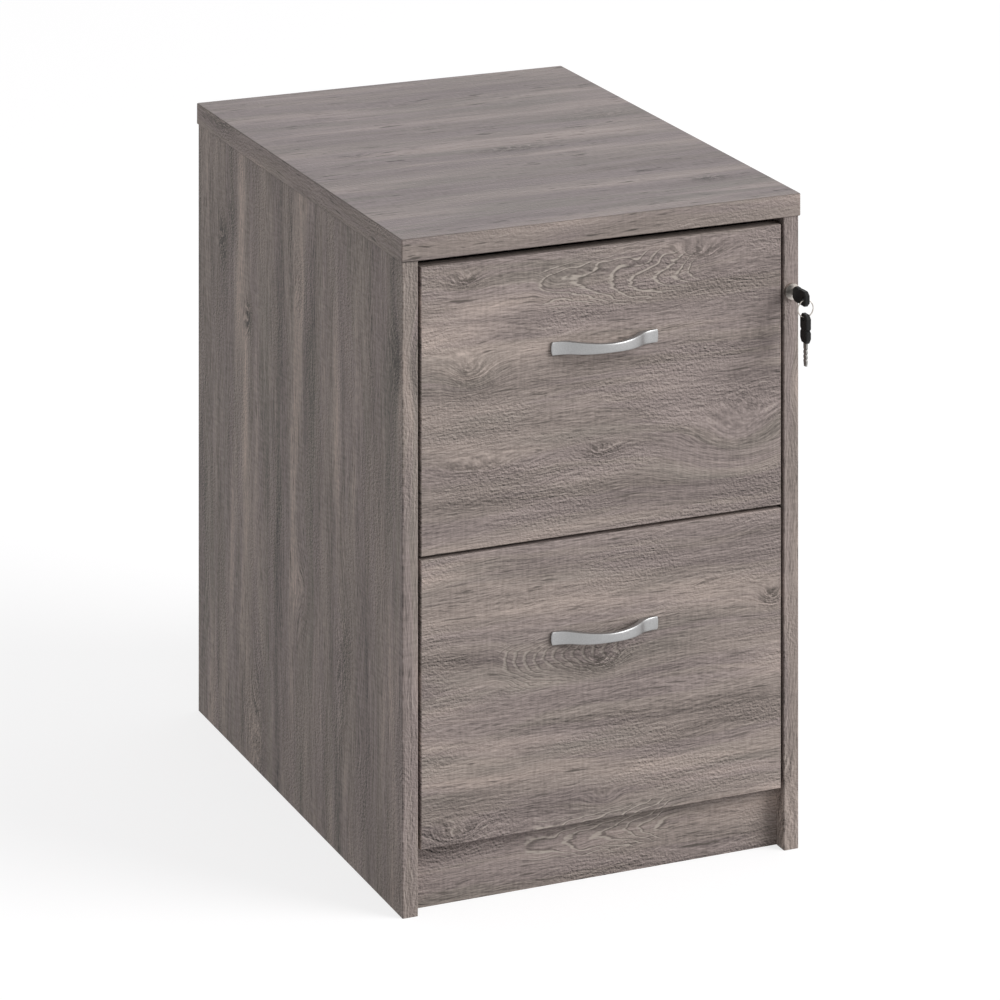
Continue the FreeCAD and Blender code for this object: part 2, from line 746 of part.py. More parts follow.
def key_blade(label, place):
    """Flat steel blade with its cuts, from the tip to the end of the tang inside the head."""
    length = size.key_gap + size.key_insert
    half = size.key_height / 2
    edge = [(-length, half - size.key_notch)]
    for share in KEY_CUT_SHARES:
        middle = length * -share
        width = length * KEY_CUT_WIDTH_SHARE
        edge += [(middle - width, half), (middle, half - size.key_notch), (middle + width, half)]
    edge += [(ZERO, half)]
    path = [place(along, -across) for along, across in edge]
    path += [place(size.key_tang, -half), place(size.key_tang, half)]
    path += [place(along, across) for along, across in reversed(edge)]
    blade = padded(f"{label}_steel", "YZ_Plane", (ZERO, ZERO, lock_x - size.key_thick / 2), path, size.key_thick)
    keep(blade, f"{label}_blade")


def tang_hole(label, place):
    """The space that the tang takes inside a head."""
    half = size.key_height / 2
    first, last = place(ZERO - size.overrun, -half), place(size.key_tang, half)
    low = [a if a.value < b.value else b for a, b in zip(first, last)]
    high = [b if a.value < b.value else a for a, b in zip(first, last)]
    return box(f"{label}_tang", (lock_x - size.key_thick / 2, low[0], low[1]),
               (lock_x + size.key_thick / 2, high[0], high[1]))


def keys():
    """The key in the lock, the ring through its head, and the spare key hanging from the ring."""
    hole_along = size.head_length - size.head_hole_inset
    shoulder = front - size.rose_thick - size.key_gap

    def in_lock(along, across):
        return shoulder - along, lock_z + across

    hole_y = shoulder - hole_along
    key_head("key", in_lock, (hole_y, lock_z), tang_hole("key", in_lock))
    key_blade("key", in_lock)

    half_head = size.head_thick / 2
    half_wire = size.ring_wire / 2
    inside, outside = size.ring_radius - half_wire, size.ring_radius + half_wire
    bow = inside - root_of(inside * inside - half_head * half_head)
    seat = size.head_hole_radius - half_wire - bow - size.ring_play
    ring_z = lock_z - seat - size.ring_radius
    rim = rod("ring_rim", outside, size.ring_wire, (lock_x, hole_y - half_wire, ring_z), "Y")
    eye = rod("ring_eye", inside, size.ring_wire, (lock_x, hole_y - half_wire, ring_z), "Y")
    keep(cut("ring_flat", rim, [eye]), "key_ring")

    spare_hole = ring_z - size.ring_radius - seat
    spare_shoulder = spare_hole - hole_along

    def hanging(along, across):
        return hole_y + across, spare_shoulder + along

    key_head("spare_key", hanging, (hole_y, spare_hole), tang_hole("spare_key", hanging))
    key_blade("spare_key", hanging)


carcass()
runners()
for level, foot in feet.items():
    drawer(level, foot)
lock()
keys()
doc.recompute()

for obj in doc.Objects:
    if "Invalid" in obj.State or "Error" in obj.State:
        raise RuntimeError(f"{obj.Label} failed to build: {obj.State}")
for part in sub_parts:
    if part.Shape.isNull() or not part.Shape.isValid() or not part.Shape.Solids:
        raise RuntimeError(f"{part.Label} is not a valid solid")

os.makedirs("parts", exist_ok=True)
for part in sub_parts:
    part.Shape.exportStep(f"parts/{part.Label}.step")
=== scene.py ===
import math

import bmesh
import bpy
import numpy as np
from mathutils import Matrix, Vector


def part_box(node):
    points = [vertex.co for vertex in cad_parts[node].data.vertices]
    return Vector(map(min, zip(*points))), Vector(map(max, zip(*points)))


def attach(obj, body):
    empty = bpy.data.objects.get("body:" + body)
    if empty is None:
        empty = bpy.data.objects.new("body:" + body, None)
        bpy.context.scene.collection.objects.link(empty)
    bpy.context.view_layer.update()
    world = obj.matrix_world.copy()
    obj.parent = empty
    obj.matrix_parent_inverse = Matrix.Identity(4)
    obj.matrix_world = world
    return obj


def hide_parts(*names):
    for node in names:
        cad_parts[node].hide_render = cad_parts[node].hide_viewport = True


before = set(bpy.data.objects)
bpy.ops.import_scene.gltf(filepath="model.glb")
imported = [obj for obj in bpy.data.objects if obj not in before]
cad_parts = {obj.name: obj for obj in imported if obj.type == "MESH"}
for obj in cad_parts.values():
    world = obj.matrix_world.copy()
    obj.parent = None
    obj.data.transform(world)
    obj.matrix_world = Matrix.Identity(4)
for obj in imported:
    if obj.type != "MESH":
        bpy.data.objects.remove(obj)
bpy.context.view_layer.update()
scene = bpy.context.scene
scene.view_settings.view_transform = "Standard"

# Side panels
# Two boards of chipboard faced with melamine printed as weathered grey oak, the grain upright. They
# stand on the floor, and an edging strip of the same print covers their front edges.
oak_taupe = (0.300, 0.252, 0.228)
oak_mauve = (0.290, 0.241, 0.226)
oak_rose = (0.370, 0.304, 0.270)
oak_lichen = (0.264, 0.228, 0.204)
oak_crack = (0.100, 0.086, 0.076)
oak_cream = (0.50, 0.44, 0.39)
oak_knot = (0.068, 0.058, 0.050)

# Layers of the print: waves per metre along and across the grain, detail, and step from the board's seed.
oak_layers = {
    "wander": (1.7, 9, 2, 0),
    "ripple": (9, 40, 1, 3),
    "tremor": (30, 70, 1, 5),
    "cloud": (2.2, 13, 2, 8),
    "blush": (2.6, 34, 2, 9),
    "band": (1.6, 17, 3, 11),
    "bar": (4.5, 62, 2, 14),
    "streak": (16, 210, 2, 17),
    "fine": (80, 520, 3, 20),
    "ridge": (60, 360, 2, 23),
    "pore": (20, 300, 2, 26),
    "shake": (20, 120, 2, 27),
    "patch": (6, 16, 1, 29),
    "rough": (300, 340, 2, 32),
    "marks": (260, 60, 1, 35),
    "sway": (14, 26, 2, 38),
    "uneven": (18, 20, 1, 41),
}
layer_roughness = 0.6


def calc(tree, operation, *values):
    """One Math node; each value is a number or the socket that feeds it."""
    node = tree.nodes.new("ShaderNodeMath")
    node.operation = operation
    for place, value in zip(node.inputs, values):
        if isinstance(value, bpy.types.NodeSocket):
            tree.links.new(value, place)
        else:
            place.default_value = value
    return node.outputs[0]


def ramp(tree, value, low, high, reach=1.0):
    """Value eased from 0 at low to reach at high."""
    node = tree.nodes.new("ShaderNodeMapRange")
    node.interpolation_type = "SMOOTHSTEP"
    for name, number in (("From Min", low), ("From Max", high), ("To Max", reach)):
        node.inputs[name].default_value = number
    tree.links.new(value, node.inputs["Value"])
    return node.outputs[0]


def tint(tree, share, below, above, blend="MIX"):
    """Colour below mixed towards colour above by share."""
    node = tree.nodes.new("ShaderNodeMix")
    node.data_type = "RGBA"
    node.blend_type = blend
    for place, value in ((node.inputs[0], share), (node.inputs[6], below), (node.inputs[7], above)):
        if isinstance(value, bpy.types.NodeSocket):
            tree.links.new(value, place)
        else:
            place.default_value = value if isinstance(value, float) else (*value, 1)
    return node.outputs[2]


def streaks(tree, layer, along, across, seed):
    """Noise drawn out along the grain, as the layer's row says."""
    waves_along, waves_across, detail, step = oak_layers[layer]
    place = tree.nodes.new("ShaderNodeCombineXYZ")
    tree.links.new(calc(tree, "MULTIPLY", along, waves_along), place.inputs[0])
    tree.links.new(calc(tree, "MULTIPLY", across, waves_across), place.inputs[1])
    place.inputs[2].default_value = seed + step
    noise = tree.nodes.new("ShaderNodeTexNoise")
    noise.inputs["Scale"].default_value = 1
    noise.inputs["Detail"].default_value = detail
    noise.inputs["Roughness"].default_value = layer_roughness
    tree.links.new(place.outputs[0], noise.inputs["Vector"])
    return noise.outputs[0]


def swing(tree, noise):
    """Noise taken about its middle."""
    return calc(tree, "SUBTRACT", noise, 0.5)


def bell(tree, apart):
    """1 in the middle, falling away to nothing with the squared distance apart."""
    return calc(tree, "EXPONENT", calc(tree, "MULTIPLY", apart, -1))


# How far the surface has turned where the edging starts, and how much livelier the print is on it.
edging_turn, edging_stir = (0.5, 0.9), -0.35
end_turn, end_stir = 0.7, 0.5


def oak_axes(tree, grain):
    """Distances along and across the grain, which runs on round the edges of the board; how far the
    surface faces up; how much livelier the print is there; and the share of the knots that shows. The
    front and back edging of an upright board is calm and has no knots, and the ends of a board with its
    grain across are lively."""
    texture = tree.nodes.new("ShaderNodeTexCoord")
    place = tree.nodes.new("ShaderNodeSeparateXYZ")
    normal = tree.nodes.new("ShaderNodeSeparateXYZ")
    tree.links.new(texture.outputs["Object"], place.inputs[0])
    tree.links.new(texture.outputs["Normal"], normal.inputs[0])
    x, y, z = place.outputs
    to_side, to_front, up = normal.outputs
    if grain == "upright":
        edging = ramp(tree, calc(tree, "ABSOLUTE", to_front), *edging_turn)
        stir, knotty = calc(tree, "MULTIPLY", edging, edging_stir), calc(tree, "SUBTRACT", 1, edging)
        return z, calc(tree, "ADD", x, y), up, stir, knotty
    on_end = calc(tree, "GREATER_THAN", calc(tree, "ABSOLUTE", to_side), end_turn)
    along = calc(tree, "MULTIPLY_ADD", on_end, y, x)
    across = calc(tree, "MULTIPLY_ADD", calc(tree, "SUBTRACT", 1, on_end), y, z)
    return along, across, up, calc(tree, "MULTIPLY", on_end, end_stir), 1.0


# How far noise pushes the lines aside, in metres, and how steeply knots darken. Of an arch: its sideways
# sway in metres, how uneven its order is, its lead before the first tip in metres, the share of its reach
# that is full, and its push in half widths.
wander_push, ripple_push = 0.035, 0.006
knot_edge = 1.3
arch_sway, arch_uneven, arch_lead, arch_full, arch_push = 0.024, 2.6, 0.03, 0.7, 0.35


def oak_lines(tree, along, across, eyes, arches, seed):
    """Grain lines, as the level lines of the distance across the board, made to wander. Bell-shaped eyes
    (along, across, half length, half width, push, knot) push them aside, and a strong one closes them
    into rings. Arches (along, across, half width, reach, pace, gain, bow, crisp) push them too. They are
    parabolas that open along the grain, one at each whole number of pace t + gain t2 - bow d2, with t the
    distance past the first tip and d that from the axis, in half widths, and noise makes them sway and
    come unevenly. Gives the lines, how firmly an eye or arch holds them, the darkness of the knots, and
    for each arch the number, its hold and how crisp it is."""
    lines = calc(tree, "MULTIPLY_ADD", streaks(tree, "wander", along, across, seed), wander_push, across)
    lines = calc(tree, "MULTIPLY_ADD", streaks(tree, "ripple", along, across, seed), ripple_push, lines)
    held, dark, rings = 0.0, 0.0, []
    for u, v, half_long, half_wide, push, knot in eyes:
        du = calc(tree, "DIVIDE", calc(tree, "SUBTRACT", along, u), half_long)
        dv = calc(tree, "DIVIDE", calc(tree, "SUBTRACT", across, v), half_wide)
        eye = bell(tree, calc(tree, "MULTIPLY_ADD", du, du, calc(tree, "MULTIPLY", dv, dv)))
        lines = calc(tree, "MULTIPLY_ADD", eye, push, lines)
        held = calc(tree, "MAXIMUM", held, eye)
        if knot:
            core = calc(tree, "MULTIPLY", calc(tree, "POWER", eye, knot_edge), knot)
            dark = calc(tree, "MAXIMUM", dark, core)
    if arches:
        sway = swing(tree, streaks(tree, "sway", along, across, seed))
        uneven = swing(tree, streaks(tree, "uneven", along, across, seed))
    for u, v, half_wide, reach, pace, gain, bow, crisp in arches:
        past = calc(tree, "SUBTRACT", along, u)
        dv = calc(tree, "MULTIPLY_ADD", sway, arch_sway, calc(tree, "SUBTRACT", across, v))
        dv = calc(tree, "DIVIDE", dv, half_wide)
        aside = calc(tree, "MULTIPLY", dv, dv)
        order = calc(tree, "MULTIPLY", past, calc(tree, "MULTIPLY_ADD", past, gain, pace))
        order = calc(tree, "MULTIPLY_ADD", uneven, arch_uneven, order)
        order = calc(tree, "MULTIPLY_ADD", aside, -bow, order)
        begun, ended = ramp(tree, past, -arch_lead, 0), ramp(tree, past, reach, arch_full * reach)
        hold = calc(tree, "MULTIPLY", calc(tree, "MULTIPLY", begun, ended), bell(tree, aside))
        lines = calc(tree, "MULTIPLY_ADD", hold, arch_push * half_wide, lines)
        held = calc(tree, "MAXIMUM", held, hold)
        rings.append((order, hold, crisp))
    return lines, held, dark, rings


# Share of the streaks in the order of the rings, lag of the dark edge in radians, hold at which rings start
# and are full, and darkness of the edge. Of the cream: where it is full, its least strength, what a crisp
# arch adds, and the fine grain that breaks it.
ring_streaks, ring_lag, ring_fade, ring_dark = 0.5, 0.9, (0.12, 0.4), 0.5
cream_full, cream_least, cream_gain, cream_grain = 0.98, 0.25, 0.92, (0.3, 0.55)


def oak_rings(tree, colour, rings, laid):
    """The arches drawn over the colour: cream at each whole number of their order, with a dark edge just
    past it. Bars and streaks of the grain bend the order, and the fine grain breaks the cream."""
    for order, hold, crisp in rings:
        order = calc(tree, "ADD", swing(tree, laid["bar"]), order)
        order = calc(tree, "MULTIPLY_ADD", laid["streak"], ring_streaks, order)
        turn = calc(tree, "MULTIPLY", order, 2 * math.pi)
        edge = ramp(tree, calc(tree, "COSINE", calc(tree, "SUBTRACT", turn, ring_lag)), crisp, 1)
        edge = calc(tree, "MULTIPLY", edge, ramp(tree, hold, *ring_fade, ring_dark))
        colour = tint(tree, edge, colour, oak_knot)
        cream = ramp(tree, calc(tree, "COSINE", turn), crisp, cream_full)
        cream = calc(tree, "MULTIPLY", cream, ramp(tree, hold, *ring_fade, cream_least + cream_gain * crisp))
        cream = calc(tree, "MULTIPLY", cream, ramp(tree, laid["fine"], *cream_grain))
        colour = tint(tree, cream, colour, oak_cream)
    return colour


# How far up a level face looks, how far round its edge the dark band of painted shade on the rounded edge
# reaches, and how dark that band is.
level_turn, edge_shade_turn, edge_shade_dark = 0.97, 0.1, 0.6


def oak_painted_face_light(tree, colour, up, sky_sheen_tint):
    """The colour with level faces tinted by the given tint, a painted sky reflection, and a dark band of
    painted shade on the rounded edge where they turn over into the edging."""
    level = calc(tree, "GREATER_THAN", up, level_turn)
    colour = tint(tree, level, colour, tint(tree, 1.0, colour, sky_sheen_tint, "MULTIPLY"))
    edge_shade = calc(tree, "MULTIPLY", calc(tree, "GREATER_THAN", up, edge_shade_turn), edge_shade_dark)
    return tint(tree, calc(tree, "MULTIPLY", edge_shade, calc(tree, "SUBTRACT", 1, level)), colour, oak_crack)


# How far the lines tremble, and the steps over which ridges and rough wood catch the light, in metres.
tremor_push, ridge_step, rough_step_along, rough_step_across = 0.0024, 0.0009, 0.0006, 0.0008

# Strength of each layer in the tone, and the tints laid one over the other on lichen grey: layer, where it
# starts, where it is full, and colour.
grain_shares = {"band": 1.05, "bar": 0.55, "streak": 0.42, "fine": 0.50}
ridge_share, marks_share, end_lift = 1.3, 0.45, 0.28
oak_tints = (
    ("cloud", 0.38, 0.52, oak_taupe),
    ("blush", 0.46, 0.56, oak_mauve),
    ("band", 0.50, 0.70, oak_rose),
)

# Where in the patches rough wood, saw marks, cracks and flecks start and are full, with their strengths.
rough_patches, rough_least = (0.44, 0.62), 0.15
marked_patches = (0.58, 0.44)
cracked_patches, crack_least, crack_gain = (0.60, 0.42), 0.15, 0.7
flecked_patches, fleck_rise, fleck_most = (0.40, 0.58), (0.12, 0.22), 0.6

# Where pores and shakes open into cracks, the hold of an eye or arch that keeps them off, the roughness of
# knots and the fine grain that breaks them.
pore_cracks, shake_cracks, crack_clearing = (0.40, 0.30), (0.34, 0.26), (0.1, 0.5)
knot_rough, knot_grain = 1.2, (0.60, 0.44)

# Surface of the melamine: depth and strength of its embossed grain, least roughness and its gain, gloss.
emboss_depth, emboss_strength = 0.0005, 0.25
melamine_smooth, melamine_gain, melamine_gloss = 0.45, 0.25, 0.22


def weathered_oak(name, grain, eyes, arches, seed, contrast, roughness, cracks, sky_sheen_tint=None):
    """Printed oak. Bands, grain, ridges and hairline cracks follow the lines that eyes and arches bend,
    and rough patches, saw marks and pale flecks lie over them. The tone is 1 plus each layer's swing
    times its share, and it multiplies the tints. Contrast, roughness and cracks are the strengths of the
    grain, of the rough patches and of the cracks. The face tint, where given, is a painted sky reflection
    that makes the upper face cooler and a little darker, and the board's ends are then lighter."""
    material = bpy.data.materials.new(name)
    material.use_nodes = True
    tree = material.node_tree
    along, across, up, stir, knotty = oak_axes(tree, grain)
    lines, held, dark, rings = oak_lines(tree, along, across, eyes, arches, seed)
    dark = calc(tree, "MULTIPLY", dark, knotty)
    tremor = swing(tree, streaks(tree, "tremor", along, across, seed))
    wavy = calc(tree, "MULTIPLY_ADD", tremor, tremor_push, lines)
    laid = {}
    for followed, layers in ((lines, ("cloud", "blush", "band", "bar")),
                             (wavy, ("streak", "fine", "ridge", "pore", "shake")),
                             (across, ("patch", "rough", "marks"))):
        for layer in layers:
            laid[layer] = streaks(tree, layer, along, followed, seed)
    below = streaks(tree, "ridge", along, calc(tree, "ADD", wavy, ridge_step), seed)
    beside = streaks(tree, "rough", calc(tree, "ADD", along, rough_step_along),
                     calc(tree, "ADD", across, rough_step_across), seed)
    raised = calc(tree, "SUBTRACT", below, laid["ridge"])

    worn = calc(tree, "MULTIPLY_ADD", ramp(tree, laid["patch"], *rough_patches), 1 - rough_least, rough_least)
    worn = calc(tree, "MULTIPLY_ADD", dark, knot_rough, worn)
    worn = calc(tree, "MULTIPLY", calc(tree, "SUBTRACT", beside, laid["rough"]), worn)
    marks = calc(tree, "MULTIPLY", swing(tree, laid["marks"]), ramp(tree, laid["patch"], *marked_patches))
    tone = 0.0
    for layer, share in grain_shares.items():
        tone = calc(tree, "MULTIPLY_ADD", swing(tree, laid[layer]), share * contrast, tone)
    tone = calc(tree, "MULTIPLY_ADD", raised, ridge_share * contrast, tone)
    tone = calc(tree, "MULTIPLY_ADD", worn, roughness, tone)
    tone = calc(tree, "MULTIPLY_ADD", marks, marks_share * contrast, tone)
    tone = calc(tree, "MULTIPLY_ADD", tone, stir, tone)
    tone = calc(tree, "ADD", tone, calc(tree, "MULTIPLY_ADD", stir, end_lift, 1) if sky_sheen_tint else 1)
    grey = tree.nodes.new("ShaderNodeCombineColor")
    for place in grey.inputs:
        tree.links.new(tone, place)
    colour = oak_lichen
    for layer, low, high, shade in oak_tints:
        colour = tint(tree, ramp(tree, laid[layer], low, high), colour, shade)
    colour = tint(tree, 1.0, colour, grey.outputs[0], "MULTIPLY")

    pores, shakes = ramp(tree, laid["pore"], *pore_cracks), ramp(tree, laid["shake"], *shake_cracks)
    clear = ramp(tree, held, *crack_clearing)
    cracked = ramp(tree, laid["patch"], *cracked_patches)
    crack = calc(tree, "MAXIMUM", pores, shakes)
    crack = calc(tree, "MULTIPLY", crack, calc(tree, "SUBTRACT", 1, clear))
    crack = calc(tree, "MULTIPLY", crack, calc(tree, "MULTIPLY_ADD", cracked, crack_gain, crack_least))
    colour = tint(tree, calc(tree, "MULTIPLY", crack, cracks), colour, oak_crack)
    fleck = ramp(tree, raised, *fleck_rise, fleck_most)
    fleck = calc(tree, "MULTIPLY", fleck, ramp(tree, laid["patch"], *flecked_patches))
    colour = tint(tree, fleck, colour, oak_cream)
    colour = oak_rings(tree, colour, rings, laid)
    knots = calc(tree, "MULTIPLY", dark, ramp(tree, laid["fine"], *knot_grain))
    colour = tint(tree, knots, colour, oak_knot)
    if sky_sheen_tint:
        colour = oak_painted_face_light(tree, colour, up, sky_sheen_tint)

    shader = tree.nodes["Principled BSDF"]
    tree.links.new(colour, shader.inputs["Base Color"])
    bump = tree.nodes.new("ShaderNodeBump")
    bump.inputs["Strength"].default_value = emboss_strength
    bump.inputs["Distance"].default_value = emboss_depth
    tree.links.new(calc(tree, "SUBTRACT", laid["ridge"], crack), bump.inputs["Height"])
    tree.links.new(bump.outputs[0], shader.inputs["Normal"])
    matt = calc(tree, "MULTIPLY_ADD", laid["fine"], melamine_gain, melamine_smooth)
    tree.links.new(matt, shader.inputs["Roughness"])
    shader.inputs["Specular IOR Level"].default_value = melamine_gloss
    return material


def finish_nodes(material, *names):
    """The material on the named nodes of the frame, as they stand."""
    for name in names:
        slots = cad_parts[name].data.materials
        slots.clear()
        slots.append(material)


# Eyes and arches of each board are rows of numbers as oak_lines takes them.
side_eyes = (
    (0.589, 0.019, 0.030, 0.014, 0.014, 1.5),
    (0.518, -0.067, 0.026, 0.013, 0.014, 1.5),
    (0.600, -0.525, 0.040, 0.020, 0.016, 1.1),
    (0.628, -0.009, 0.030, 0.016, 0.010, 0.8),
    (0.600, -0.234, 0.040, 0.016, 0.016, 0.3),
    (0.260, -0.249, 0.050, 0.025, 0.024, 0.2),
    (0.045, -0.107, 0.090, 0.024, 0.030, 0.5),
    (0.221, -0.373, 0.070, 0.020, 0.012, 0.7),
    (0.420, 0.300, 0.060, 0.016, 0.014, 0.6),
)
side_oak = weathered_oak("oak_upright_sides", "upright", side_eyes, (), seed=37.0, contrast=1.9,
                         roughness=3.0, cracks=1.0)
finish_nodes(side_oak, "left_side_panel", "right_side_panel")

# Back and base
# Plain boards of chipboard in pale grey melamine, let into housings in the sides. The base runs from
# the plinth to the back, and the back closes the cabinet where it stands against a wall.
finish_detail, finish_range = 3, (0.3, 0.7)


def mottled(name, waves, dull, bright, roughness, metallic=0.0, specular=0.5, relief=0.0):
    """A finish that varies finely: noise of so many waves per metre mixes the two colours, runs the
    roughness between its two values and raises the surface by relief, in metres."""
    material = bpy.data.materials.new(name)
    material.use_nodes = True
    tree = material.node_tree
    shader = tree.nodes["Principled BSDF"]
    texture = tree.nodes.new("ShaderNodeTexCoord")
    noise = tree.nodes.new("ShaderNodeTexNoise")
    noise.inputs["Scale"].default_value = waves
    noise.inputs["Detail"].default_value = finish_detail
    tree.links.new(texture.outputs["Object"], noise.inputs["Vector"])
    share = ramp(tree, noise.outputs[0], *finish_range)
    tree.links.new(tint(tree, share, dull, bright), shader.inputs["Base Color"])
    smooth, matt = roughness
    tree.links.new(calc(tree, "MULTIPLY_ADD", share, matt - smooth, smooth), shader.inputs["Roughness"])
    shader.inputs["Metallic"].default_value = metallic
    shader.inputs["Specular IOR Level"].default_value = specular
    if relief:
        bump = tree.nodes.new("ShaderNodeBump")
        bump.inputs["Distance"].default_value = relief
        tree.links.new(noise.outputs[0], bump.inputs["Height"])
        tree.links.new(bump.outputs[0], shader.inputs["Normal"])
    return material


pale_melamine = mottled("pale_melamine", 800, (0.50, 0.49, 0.47), (0.56, 0.55, 0.53), (0.42, 0.55),
                        specular=0.35, relief=0.00004)
finish_nodes(pale_melamine, "back_panel", "base_panel")

# Top panel
# A thicker board of the same print with its grain across the cabinet, edged all round. Cam fittings in
# the sides draw it down, and its face is tinted cooler and darker than its edging: painted sky reflection.
top_eyes = (
    (-0.159, 0.767, 0.030, 0.010, 0.008, 0.5),
    (0.020, 0.728, 0.050, 0.014, 0.012, 0.8),
    (0.190, 0.830, 0.060, 0.016, 0.014, 0.5),
    (0.175, 0.520, 0.030, 0.012, 0.010, 1.0),
    (-0.019, 0.966, 0.050, 0.012, 0.010, 0.4),
)
# The face tint is painted light: a sky reflection painted on the upper face, cooler and a little darker.
top_oak = weathered_oak("oak_across_top", "across", top_eyes, (), seed=1.0, contrast=0.74, roughness=1.6,
                        cracks=1.5, sky_sheen_tint=(0.91, 0.935, 0.995))
finish_nodes(top_oak, "top_panel")

# Cam fittings
# Zinc-plated bolts screwed up into the top, each caught by a turning disc in the side panel.
zinc_plate = mottled("zinc_plate", 160, (0.50, 0.52, 0.54), (0.64, 0.65, 0.66), (0.28, 0.45), metallic=1.0)
finish_nodes(zinc_plate, "cam_bolts", "cam_discs")

# Runners
# Three roll-formed steel channels a side, bright zinc, that draw out one from the other on balls held
# in black cages. Three cross-head screws fix the innermost channel to the drawer side.
levels, sides = ("top", "bottom"), ("left", "right")
runner_steel = mottled("runner_steel", 220, (0.56, 0.57, 0.58), (0.66, 0.67, 0.68), (0.25, 0.38),
                       metallic=1.0)
cage_plastic = mottled("cage_plastic", 1500, (0.012, 0.012, 0.012), (0.020, 0.020, 0.019), (0.4, 0.55),
                       specular=0.3)
finish_nodes(runner_steel, *(f"{level}_{side}_{part}_runner" for level in levels for side in sides
                             for part in ("outer", "mid", "inner")))
finish_nodes(cage_plastic, *(f"{level}_{part}_ball_cages" for level in levels for part in ("outer", "inner")))
runner_web, runner_screw_inset = 0.0012, 0.035
runner_screw_head, runner_screw_dome, runner_screw_shank, runner_screw_length = 0.0034, 0.0018, 0.0017, 0.010

# Of a screw: rings over the dome and points round it, and height of its rim in domes. Of its cross: slope
# of the walls and reach of the arms in heads, edge in slopes, and depth in domes.
dome_rings, screw_around, rim_height = 15, 40, 0.35
cross_slope, cross_reach, cross_edge, cross_depth = 0.13, 0.6, 1.6, 0.45
pole_gap = 1e-7


def grid_mesh(name, points, material):
    """Surfaces on grids of points (copy, ring, around, xyz), each closed round its rings. Points that
    meet at a pole become one, and all faces are turned outwards."""
    copies, rings, around = points.shape[:3]
    place = np.arange(copies * rings * around).reshape(copies, rings, around)
    here, ahead = place[:, :-1], place[:, 1:]
    faces = np.stack((here, np.roll(here, -1, 2), np.roll(ahead, -1, 2), ahead), axis=-1).reshape(-1, 4)
    mesh = bpy.data.meshes.new(name)
    mesh.from_pydata(points.reshape(-1, 3).tolist(), [], faces.tolist())
    shell = bmesh.new()
    shell.from_mesh(mesh)
    bmesh.ops.remove_doubles(shell, verts=shell.verts, dist=pole_gap)
    bmesh.ops.recalc_face_normals(shell, faces=shell.faces)
    shell.to_mesh(mesh)
    shell.free()
    mesh.polygons.foreach_set("use_smooth", np.ones(len(mesh.polygons), bool))
    mesh.materials.append(material)
    piece = bpy.data.objects.new(name, mesh)
    scene.collection.objects.link(piece)
    return piece


def pan_screws(name, seats, axis, outward, head, dome, shank, length, material):
    """Screws on their seats: the outline over the dome, under the head and down the shank is turned
    about the axis, and a cross is sunk in the dome where either sideways distance is small."""
    bow = np.linspace(0, math.pi / 2, dome_rings)
    radius = np.concatenate((head * np.sin(bow), (head, shank, shank, 0)))
    height = np.concatenate((dome * (rim_height + (1 - rim_height) * np.cos(bow)), (0, 0, -length, -length)))
    turn = np.linspace(0, 2 * math.pi, screw_around, endpoint=False)
    a, b = radius[:, None] * np.cos(turn), radius[:, None] * np.sin(turn)
    cross = np.clip(cross_edge - np.minimum(np.abs(a), np.abs(b)) / (cross_slope * head), 0, 1)
    on_dome = (np.arange(len(radius)) < len(bow)) & (radius < cross_reach * head)
    rise = height[:, None] - cross_depth * dome * cross * on_dome[:, None]
    points = np.empty((len(seats), *a.shape, 3))
    sideways = [place for place in range(3) if place != axis]
    points[..., axis] = outward * rise
    points[..., sideways[0]], points[..., sideways[1]] = a, b
    return grid_mesh(name, points + np.array(seats)[:, None, None, :], material)


for level in levels:
    for side, outward in zip(sides, (-1, 1)):
        low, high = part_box(f"{level}_{side}_inner_runner")
        web = high.x - runner_web if outward < 0 else low.x + runner_web
        stations = (low.y + runner_screw_inset, (low.y + high.y) / 2, high.y - runner_screw_inset)
        seats = [(web, y, (low.z + high.z) / 2) for y in stations]
        screws = pan_screws(f"{level}_{side}_runner_screws", seats, 0, outward, runner_screw_head,
                            runner_screw_dome, runner_screw_shank, runner_screw_length, zinc_plate)
        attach(screws, f"{level}_drawer")

# Drawer boxes
# Sides, back and bottom of thin pale melamine board, the bottom let into grooves. Black extruded rails
# clip over the sides for hanging files.
rail_plastic = mottled("rail_plastic", 900, (0.010, 0.010, 0.010), (0.018, 0.017, 0.017), (0.35, 0.5),
                       specular=0.35)
finish_nodes(pale_melamine, *(f"{level}_drawer_{board}" for level in levels
                              for board in ("left_side", "right_side", "back", "bottom")))
finish_nodes(rail_plastic, *(f"{level}_{side}_file_rail" for level in levels for side in sides))

# Drawer fronts and plinth
# Boards of the print with the grain across. The fronts come from two places on the sheet, one with an
# arch at its head and one with a large knot, and the plinth carries on the lower front's foot.
top_front_eyes = (
    (0.115, 0.372, 0.030, 0.012, 0.012, 0.6),
    (-0.164, 0.372, 0.022, 0.010, 0.012, 0.8),
    (-0.159, 0.268, 0.030, 0.020, 0.018, 0.6),
    (-0.0037, 0.167, 0.024, 0.009, 0.010, 0.8),
    (0.165, 0.155, 0.080, 0.045, 0.036, 0.0),
    (-0.150, 0.165, 0.070, 0.012, 0.010, 0.5),
)
top_front_arches = ((-0.058, 0.3545, 0.023, 0.19, 20, 100, 1.9, 0.72),)
top_front_oak = weathered_oak("oak_across_top_front", "across", top_front_eyes, top_front_arches, seed=61.0,
                              contrast=1.35, roughness=2.5, cracks=1.0)
finish_nodes(top_front_oak, "top_drawer_front")
bottom_front_eyes = (
    (-0.008, -0.064, 0.036, 0.012, 0.014, 0.8),
    (0.205, -0.021, 0.018, 0.014, 0.012, 0.8),
    (0.000, -0.213, 0.020, 0.010, 0.008, 0.0),
    (-0.176, -0.225, 0.030, 0.014, 0.014, 0.45),
)
